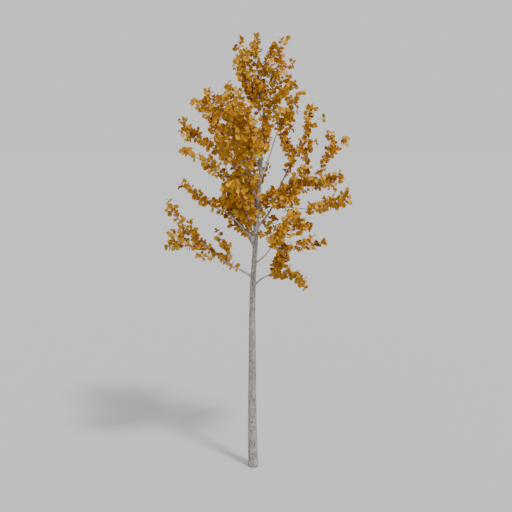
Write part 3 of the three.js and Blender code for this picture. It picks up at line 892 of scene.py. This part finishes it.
@dataclass
class Limbs:
    """All limbs: their lines by the growing rule, their taper, and their surface."""

    trunk: Trunk
    steps: int = 12
    sway: Sway = Sway(6.0)
    thinnest: float = 6.0
    per_length: float = 0.0065
    share_of_trunk: float = 0.55
    share_of_limb: float = 0.75
    tip_radius: float = 1.9
    taper: float = 1.1
    sides: int = 14
    ring_pitch: float = 9.0
    tip_round: float = 0.6
    tip_share: float = 0.55
    collar_climb: float = 0.8
    foot_swell: float = 0.5
    foot_swell_run: float = 1.3
    fork_slant: float = 0.7
    least_slant: float = 0.35
    knot_swell: float = 0.16
    knot_run: float = 4.0
    bark_columns: int = 7
    bark_cell: float = 34.0
    bark_seed: int = 40
    bark_height: float = 0.09
    bark_radii: Span = (2.0, 8.0)
    fissure_edge: Span = (0.75, 1.0)
    fissured_radii: Span = (4.0, 12.0)
    young_radii: Span = (9.0, 2.6)
    paths: dict[str, Path] = field(default_factory=dict)
    feet: dict[str, float] = field(default_factory=dict)

    def __post_init__(self) -> None:
        """Grows the limbs in the order of their table."""
        for order, limb in enumerate(LIMBS):
            if limb.parent == "trunk":
                foot = self.trunk.axis(limb.at)
                thickest = self.share_of_trunk * self.trunk.radius(limb.at)
            else:
                foot = self.paths[limb.parent].frames(np.array([limb.at])).point[0]
                thickest = self.share_of_limb * self.radius(limb.parent, np.array([limb.at]))[0]
            self.feet[limb.name] = min(float(thickest), self.thinnest + self.per_length * limb.length)
            self.paths[limb.name] = self.sway.grow(foot, limb.length, self.steps, order + 1, limb.course)

    def radius(self, name: str, s: Array) -> Array:
        """Gives a limb's radius: it falls from the foot to the tip, a little faster at first."""
        tip = min(self.tip_radius, self.feet[name])
        return tip + (self.feet[name] - tip) * (1 - s) ** self.taper

    def trunk_feet(self) -> list[tuple[float, float, float]]:
        """Finds where limbs leave the trunk's surface.

        Returns:
            For each limb on the trunk, its height there, its bearing in radians and its radius.
        """
        found = []
        for limb in LIMBS:
            if limb.parent == "trunk" and limb.at < self.trunk.height:
                climb = math.tan(math.radians(limb.rise)) * self.trunk.radius(limb.at)
                height = limb.at + self.collar_climb * climb
                found.append((height, math.radians(limb.bearing), self.feet[limb.name]))
        return found

    def build(self, knots: dict[str, Array]) -> Surface:
        """Builds all limbs: a round profile carried along each line, swollen at its foot and its knots.

        Args:
            knots: For each limb, the shares of its length where shoots leave it.

        Returns:
            The joined surface.
        """
        parts = [self._one(order, limb, knots[limb.name]) for order, limb in enumerate(LIMBS)]
        return Surface.joined(parts)

    def _swollen(self, limb: Limb, s: Array, knots: Array) -> Array:
        """Gives a limb's radius with its swellings and its rounded tip.

        The foot's swelling fades with the distance from the wood that it leaves, and a knot's is a bell.

        Args:
            limb: The limb.
            s: Shares of its length.
            knots: Shares of its length where shoots leave it.

        Returns:
            The radii there.
        """
        base = self.radius(limb.name, s)
        if limb.parent == "trunk":
            wood = float(self.trunk.radius(min(limb.at, self.trunk.height)))
            slant = math.cos(math.radians(limb.rise))
        else:
            wood = float(self.radius(limb.parent, np.array([limb.at]))[0])
            slant = self.fork_slant
        clear = np.maximum(s * limb.length - wood / max(slant, self.least_slant), 0)
        fade = np.exp(-clear / (self.foot_swell_run * base[0]))
        swell = 1 + self.foot_swell * fade * (limb.name != "top_leader")
        away = (s[:, None] - knots) * limb.length / (self.knot_run + base[:, None])
        spots = np.minimum(np.exp(-(away**2)).sum(axis=1), 1)
        rounded = np.where(s < 1, 1.0, self.tip_share)
        return base * swell * (1 + self.knot_swell * spots) * rounded

    def _one(self, order: int, limb: Limb, knots: Array) -> Surface:
        """Builds one limb with fine upright bark.

        Args:
            order: Number of the limb in its table.
            limb: The limb.
            knots: Shares of its length where shoots leave it.

        Returns:
            The surface, with a small round tip.
        """
        count = int(limb.length / self.ring_pitch)
        s = np.concatenate([np.linspace(0, 1, count)[:-1], [1 - self.tip_round / limb.length, 1.0]])
        base = self.radius(limb.name, s)[:, None]
        lap = np.arange(self.sides) / self.sides
        layer = Cells(self.bark_columns, self.bark_cell, 0.0, self.bark_seed + order)
        cells = layer.noise(lap, (s * limb.length)[:, None])
        relief = 1 + self.bark_height * (cells - 0.5) * smooth_step(base, *self.bark_radii)
        radius = self._swollen(limb, s, knots)[:, None] * relief
        crossing = smooth_step(1 - np.abs(2 * cells - 1), *self.fissure_edge)
        fissures = crossing * smooth_step(base, *self.fissured_radii)
        youth = smooth_step(base, *self.young_radii)
        frames = Frames.stacked([self.paths[limb.name].frames(s)])
        marks = {"fissure": fissures[None], "youth": youth[None]}
        return Surface.tubes(frames, radius[None], self.sides, marks)


@dataclass
class Shoots:
    """Side twigs of the limbs, by turns to the left and right, shorter towards the limb's tip."""

    limbs: Limbs
    steps: int = 6
    sway: Sway = Sway(8.0)
    climb: float = 14.0
    angle: float = 42.0
    angle_spread: float = 22.0
    roll_spread: float = 120.0
    first_place: float = 0.35
    place_spread: float = 0.5
    last: float = 0.97
    first_share: float = 0.92
    shortening: float = 0.48
    length_min: float = 0.65
    length_spread: float = 0.7
    seeds_per_limb: int = 64
    draws: int = 10
    deal_draws: int = 1000
    radius: float = 3.1
    share_of_limb: float = 0.75
    tip_radius: float = 1.3
    tip_share: float = 0.8
    tip_round: float = 0.5
    taper: float = 1.2
    foot_swell: float = 0.5
    foot_swell_fade: float = 12.0
    young_foot: float = 0.35
    sides: int = 6
    rings: int = 14
    paths: list[Path] = field(default_factory=list)
    feet: list[float] = field(default_factory=list)
    knots: dict[str, Array] = field(default_factory=dict)

    def __post_init__(self) -> None:
        """Grows the shoots of every limb."""
        for order, limb in enumerate(LIMBS):
            i = np.arange(limb.shoots)
            first = self.deal_draws * limb.deal + self.draws * i
            placed, rolled, angled, grown = (chance(order + 1, first + k) for k in range(1, 5))
            u = (i + self.first_place + self.place_spread * placed) / limb.shoots
            s = limb.bare + (1 - limb.bare) * self.last * u
            frames = self.limbs.paths[limb.name].frames(s)
            roll = 180.0 * (i % 2) + self.roll_spread * (rolled - 0.5)
            way = frames.leave(roll, self.angle + self.angle_spread * angled)
            share = self.first_share - self.shortening * u
            length = limb.reach * share * (self.length_min + self.length_spread * grown)
            self.knots[limb.name] = s
            thickness = np.minimum(self.radius, self.share_of_limb * self.limbs.radius(limb.name, s))
            self.feet.extend(thickness.tolist())
            for k in range(limb.shoots):
                self._grow(frames.point[k], way[k], float(length[k]), self.seeds_per_limb * (order + 1) + k)

    def _grow(self, foot: Array, way: Array, length: float, seed: int) -> None:
        """Grows one shoot, which climbs a little towards its tip.

        Args:
            foot: Where it starts.
            way: Its direction there.
            length: Its length.
            seed: Its seed.
        """
        bearing = math.degrees(math.atan2(way[1], way[0]))
        rise = math.degrees(math.asin(way[2]))

        def course(s: Array) -> tuple[Array, Array]:
            """Gives the bearing and the rise along the shoot."""
            return bearing + 0 * s, rise + self.climb * s

        self.paths.append(self.sway.grow(foot, length, self.steps, seed, course))

    def build(self) -> Surface:
        """Builds all shoots: a round profile carried along each line, thinner towards the tip.

        Returns:
            The joined surface.
        """
        s = np.concatenate([np.linspace(0, 1, self.rings), [1.0]])
        frames = Frames.stacked([path.frames(s) for path in self.paths])
        feet = np.array(self.feet)[:, None]
        tips = np.minimum(self.tip_radius, self.tip_share * feet)
        swell = 1 + self.foot_swell * np.exp(-s * self.foot_swell_fade)
        rounded = np.append(np.ones(self.rings), self.tip_round)
        radius = (tips + (feet - tips) * (1 - s) ** self.taper) * swell * rounded
        youth = self.young_foot + (1 - self.young_foot) * s + 0 * radius
        return Surface.tubes(frames, radius, self.sides, {"fissure": 0 * radius, "youth": youth})


@dataclass
class Sprays:
    """Short side twigs of the limbs and shoots, each with its leaves: the smallest unit of the foliage."""

    limbs: Limbs
    shoots: Shoots
    seed: int = 3
    pitch: float = 34.0
    last_gap: float = 0.3
    first_on_shoot: float = 24.0
    length: float = 28.0
    shortest: float = 0.5
    longest: float = 1.35
    angle: float = 52.0
    tip_angle: float = 8.0
    turn: float = 137.5
    turn_spread: float = 28.0
    upward: float = 0.15
    curve: float = 0.12
    radius: float = 1.25
    tip_radius: float = 0.8
    stem_rings: int = 4
    stem_share: float = 0.88
    bud_places: tuple[float, ...] = (0.93, 0.98, 1.03)
    bud_swells: tuple[float, ...] = (1.9, 1.7, 0.3)
    sides: int = 5
    frames: Frames = field(init=False)
    lengths: Array = field(init=False)

    def __post_init__(self) -> None:
        """Sets the sprays along every line, one each pitch and one at the tip."""
        rng = np.random.default_rng(self.seed)
        hosts = [(self.limbs.paths[limb.name], limb.bare, 1 - limb.bare_tip) for limb in LIMBS]
        hosts += [(path, self.first_on_shoot / path.length, 1.0) for path in self.shoots.paths]
        feet, ways = [], []
        for path, start, stop in hosts:
            pitch = self.pitch / path.length
            place = np.append(np.arange(start, stop - self.last_gap * pitch, pitch), stop)
            number = np.arange(len(place))
            host = path.frames(place)
            roll = self.turn * number + rng.uniform(-self.turn_spread, self.turn_spread, len(place))
            angle = np.where(number == len(place) - 1, self.tip_angle, self.angle)
            feet.append(host.point)
            ways.append(host.leave(roll, angle))
        way = unit(np.concatenate(ways) + self.upward * UP)
        side = unit(np.cross(way, UP))
        self.frames = Frames(np.concatenate(feet), way, side, np.cross(side, way))
        self.lengths = self.length * rng.uniform(self.shortest, self.longest, len(way))

    def points(self, share: Array) -> Array:
        """Follows every spray: straight out, bending up with the square of the share.

        Args:
            share: Shares of the length, in an array of spray by place.

        Returns:
            The points there.
        """
        out = share[..., None] * self.frames.along[:, None, :] + self.curve * share[..., None] ** 2 * UP
        return self.frames.point[:, None, :] + self.lengths[:, None, None] * out

    def build(self) -> Surface:
        """Builds the side twigs: a round profile carried along each, with a small bud at the tip.

        Returns:
            The joined surface.
        """
        share = np.concatenate([np.linspace(0, self.stem_share, self.stem_rings), self.bud_places])
        swell = np.concatenate([np.ones(self.stem_rings), self.bud_swells])
        shape = (len(self.lengths), len(share))
        radius = np.broadcast_to((self.radius + (self.tip_radius - self.radius) * share) * swell, shape)
        ways = (self.frames.along, self.frames.side, self.frames.top)
        carried = (np.repeat(way[:, None], len(share), axis=1) for way in ways)
        frames = Frames(self.points(np.broadcast_to(share, shape)), *carried)
        marks = {"fissure": np.zeros(shape), "youth": np.ones(shape)}
        return Surface.tubes(frames, radius, self.sides, marks)


@dataclass
class Leaves:
    """The leaves of every spray: heart-shaped blades on thin stalks, in tints dealt out by spray.

    The size and the stalk are in millimetres. The blade's outline, thickness, fold, curl and waves are
    shares of its length.
    """

    sprays: Sprays
    seed: int = 8
    each: int = 4
    first: float = 0.6
    size: float = 49.5
    smallest: float = 0.72
    largest: float = 1.14
    stalk: float = 15.0
    stalk_radius: float = 0.9
    stalk_taper: float = 0.25
    stalk_arch: float = 0.12
    droop: float = 0.15
    forward: float = 0.5
    facing_out: float = 0.25
    facing_up: float = 0.4
    folds: Span = (0.08, 0.42)
    curls: Span = (-0.05, 0.32)
    waves: Span = (-0.07, 0.07)
    thickness: float = 0.016
    middle: float = 0.45
    half_length: float = 0.49
    half_width: float = 0.5
    fullness: float = 0.8
    tip_narrowing: float = 0.28
    tip_power: int = 6
    rib_start: float = 0.05
    rib_run: float = 0.88
    stations: ClassVar[Array] = np.array([0.07, 0.21, 0.39, 0.58, 0.76, 0.9])
    spray: Array = field(init=False)
    foot: Array = field(init=False)
    along: Array = field(init=False)
    face: Array = field(init=False)
    across: Array = field(init=False)
    root: Array = field(init=False)
    sizes: Array = field(init=False)
    fold: Array = field(init=False)
    curl: Array = field(init=False)
    wave: Array = field(init=False)
    tint: Array = field(init=False)

    def __post_init__(self) -> None:
        """Sets every leaf's root, direction and face, its size and bends, and its spray's tint."""
        rng = np.random.default_rng(self.seed)
        count = len(self.sprays.lengths)
        total = count * self.each
        share = np.broadcast_to((np.arange(self.each) + self.first) / self.each, (count, self.each))
        self.spray = np.repeat(np.arange(count), self.each)
        self.foot = self.sprays.points(share).reshape(total, 3)
        host = self.sprays.frames
        turn = rng.uniform(0, TURN, total)[:, None]
        side, top, along = (part[self.spray] for part in (host.side, host.top, host.along))
        out = self.forward * along + np.cos(turn) * side + np.sin(turn) * top
        self.along = unit(out - self.droop * UP)
        # The tiny step to the right gives a leaf on the axis an outward direction too
        outward = unit(self.foot * [1.0, 1.0, 0.0] + [1e-6, 0.0, 0.0])
        face = rng.normal(size=(total, 3)) + self.facing_out * outward + self.facing_up * UP
        self.face = unit(face - self.along * (face * self.along).sum(axis=1, keepdims=True))
        self.across = np.cross(self.face, self.along)
        self.root = self.foot + self.stalk * self.along
        self.sizes = self.size * rng.uniform(self.smallest, self.largest, total)
        self.fold = rng.uniform(*self.folds, total)
        self.curl = rng.uniform(*self.curls, total)
        self.wave = rng.uniform(*self.waves, (total, len(self.stations)))
        shares = np.array([tint.value.share for tint in Tint])
        self.tint = rng.choice(len(shares), count, p=shares / shares.sum())[self.spray]

    def outline(self) -> tuple[Array, Array, Array]:
        """Gives one half of the blade's outline at its stations, and the midrib beside them.

        Place and width follow the cosine and the sine of a half turn from the heart-shaped notch to the
        pointed tip, and the width narrows further towards the tip.

        Returns:
            Places along the blade, widths, and places on the midrib, all for a blade of length one.
        """
        t = self.stations
        place = self.middle - self.half_length * np.cos(np.pi * t)
        narrowing = 1 - self.tip_narrowing * t**self.tip_power
        width = self.half_width * np.sin(np.pi * t) ** self.fullness * narrowing
        return place, width, self.rib_start + self.rib_run * t

    def blades(self, chosen: Array) -> Surface:
        """Builds closed blades of two skins that meet at the outline.

        The edge rises with the fold and the wave, and the blade bends down with the square of the place.

        Args:
            chosen: Numbers of the leaves.

        Returns:
            The surface.
        """
        place, width, rib = self.outline()
        n, k = len(chosen), len(self.stations)
        fold, curl, wave = self.fold[chosen, None], self.curl[chosen, None], self.wave[chosen]
        bend = -curl * place**2
        left = np.stack([place + 0 * bend, width + 0 * bend, bend + width * (fold + wave)], axis=-1)
        right = np.stack([place + 0 * bend, -width + 0 * bend, bend + width * (fold - wave)], axis=-1)
        middle = np.stack([rib + 0 * bend, 0 * bend, -curl * rib**2], axis=-1)
        lift = np.array([0, 0, self.thickness / 2])
        root = np.zeros((n, 1, 3))
        tip = np.stack([1 + 0 * curl, 0 * curl, -curl], axis=-1)
        flat = np.concatenate([root, tip, left, right, middle + lift, middle - lift], axis=1)
        axes = np.stack([self.along[chosen], self.across[chosen], self.face[chosen]], axis=1)
        vertices = self.root[chosen, None] + self.sizes[chosen, None, None] * (flat @ axes)
        surface = Surface.copies(vertices, *self._faces(k))
        surface.outline = np.tile(np.arange(2 + 4 * k) < 2 + 2 * k, n)
        return surface

    def _faces(self, k: int) -> tuple[Array, Array]:
        """Gives the faces of one blade: strips between outline and midrib, on both skins.

        Args:
            k: Number of stations.

        Returns:
            The four-cornered and the three-cornered faces.
        """
        i = np.arange(k - 1)
        left, right, upper, lower = (2 + k * part for part in range(4))
        strips, corners = [], []
        for rib, turned in ((upper, False), (lower, True)):
            sides = [
                np.stack([rib + i, rib + i + 1, left + i + 1, left + i], axis=-1),
                np.stack([right + i, right + i + 1, rib + i + 1, rib + i], axis=-1),
            ]
            ends = np.array([
                [0, rib, left], [0, right, rib],
                [rib + k - 1, 1, left + k - 1], [right + k - 1, 1, rib + k - 1],
            ])
            strips += [side[:, ::-1] if turned else side for side in sides]
            corners.append(ends[:, ::-1] if turned else ends)
        return np.concatenate(strips), np.concatenate(corners)

    def stalks(self, chosen: Array) -> Surface:
        """Builds the stalks: a three-sided profile carried along a shallow arch from twig to blade.

        Args:
            chosen: Numbers of the leaves.

        Returns:
            The surface.
        """
        share = np.array([0.0, 0.5, 1.0])
        reach = self.stalk * share[None, :, None] * self.along[chosen, None]
        arch = self.stalk_arch * self.stalk * (4 * share * (1 - share))[None, :, None] * UP
        point = self.foot[chosen, None] + reach + arch
        ways = (self.along, self.across, -self.face)
        frames = Frames(point, *(np.repeat(way[chosen, None], len(share), axis=1) for way in ways))
        radius = np.broadcast_to(self.stalk_radius * (1 - self.stalk_taper * share), point.shape[:2])
        return Surface.tubes(frames, radius, 3)

    def build(self, tint: int) -> Surface:
        """Builds the leaves of one tint."""
        chosen = np.flatnonzero(self.tint == tint)
        return Surface.joined([self.blades(chosen), self.stalks(chosen)])


@dataclass
class Studio:
    """A pale floor, soft light and the camera."""

    floor_radius: float = 60.0
    floor_rings: int = 12
    floor_spokes: int = 64
    floor_colour: Colour = (0.58, 0.58, 0.58)
    floor_shade: float = 0.985
    floor_roughness: float = 0.9
    floor_mottle: float = 3.0
    floor_relief: Span = (0.02, 0.001)
    sky_colour: Colour = (1.0, 1.0, 1.0)
    sky_strength: float = 0.84
    sun_strength: float = 2.3
    sun_softness: float = 9.0
    sun_bearing: float = -45.0
    sun_rise: float = 57.0
    camera_place: Colour = (0.0339, -8.193, 4.433)
    camera_target: Colour = (0.0339, 0.0, 2.692)
    lens: float = 50.0
    sensor: float = 36.0

    def build(self) -> None:
        """Sets the floor, the light and the camera."""
        self._floor()
        self._light()
        self._camera()

    def _floor(self) -> None:
        """Makes a level round floor: rings and spokes on a grid of two parameters."""
        spokes = self.floor_spokes
        radius = self.floor_radius * np.linspace(0, 1, self.floor_rings + 1)[1:] ** 2
        ring, spoke = np.meshgrid(radius, np.linspace(0, TURN, spokes + 1)[:-1], indexing="ij")
        rim = np.stack([ring * np.cos(spoke), ring * np.sin(spoke), 0 * ring], axis=-1).reshape(-1, 3)
        here = np.arange(spokes)
        there = (here + 1) % spokes
        start = spokes * np.arange(self.floor_rings - 1)[:, None]
        corners = (start + here, start + spokes + here, start + spokes + there, start + there)
        quads = np.stack([c.ravel() for c in corners], axis=-1)
        centre = np.stack([np.full(spokes, len(rim)), here, there], axis=-1)
        surface = Surface(np.concatenate([rim, np.zeros((1, 3))]) / MM, quads, centre)
        board = Board("floor")
        shade = board.noise(EVEN, self.floor_mottle)
        dark = tuple(self.floor_shade * c for c in self.floor_colour)
        colour = board.blend(shade, dark, self.floor_colour)
        sockets = {"Base Color": colour, "Roughness": self.floor_roughness}
        floor = surface.placed("floor", board.finish(sockets, shade, *self.floor_relief))

    def _light(self) -> None:
        """Sets an even sky and one soft key light from the front right."""
        world = bpy.data.worlds.new("sky")
        world.use_nodes = True
        background = world.node_tree.nodes["Background"]
        background.inputs["Color"].default_value = (*self.sky_colour, 1.0)
        background.inputs["Strength"].default_value = self.sky_strength
        bpy.context.scene.world = world
        lamp = bpy.data.lights.new("key", "SUN")
        lamp.energy = self.sun_strength
        lamp.angle = math.radians(self.sun_softness)
        key = bpy.data.objects.new("key", lamp)
        towards = Vector(heading(np.array(self.sun_bearing), np.array(self.sun_rise)))
        key.rotation_euler = towards.to_track_quat("Z", "Y").to_euler()
        bpy.context.scene.collection.objects.link(key)

    def _camera(self) -> None:
        """Sets the camera at the front, looking slightly down."""
        lens = bpy.data.cameras.new("camera")
        lens.lens = self.lens
        lens.sensor_width = self.sensor
        camera = bpy.data.objects.new("camera", lens)
        camera.location = self.camera_place
        look = Vector(self.camera_target) - Vector(self.camera_place)
        camera.rotation_euler = look.to_track_quat("-Z", "Y").to_euler()
        bpy.context.scene.collection.objects.link(camera)
        bpy.context.scene.camera = camera


def main() -> None:
    """Builds the tree's pieces in order."""
    logging.basicConfig(level=logging.INFO, format="%(message)s")
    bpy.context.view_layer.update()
    Studio().build()
    trunk = Trunk()
    limbs = Limbs(trunk)
    shoots = Shoots(limbs)
    sprays = Sprays(limbs, shoots)
    leaves = Leaves(sprays)
    bark = BARK.material()
    set_piece("trunk_bark", trunk.build(limbs), bark, ["trunk"])
    set_piece("bough_bark", limbs.build(shoots.knots), bark, nodes_of("_bough"))
    twigs = Surface.joined([shoots.build(), sprays.build()])
    set_piece("twigs", twigs, TWIG_SKIN.material(), nodes_of("_leaves"))
    for number, tint in enumerate(Tint):
        finish = tint.value
        set_piece(finish.name, leaves.build(number), finish.material(), nodes_in(finish.slot))
    bpy.context.view_layer.update()
    LOG.info("%d leaves on %d sprays", len(leaves.sizes), len(sprays.lengths))


if __name__ == "__main__":
    main()
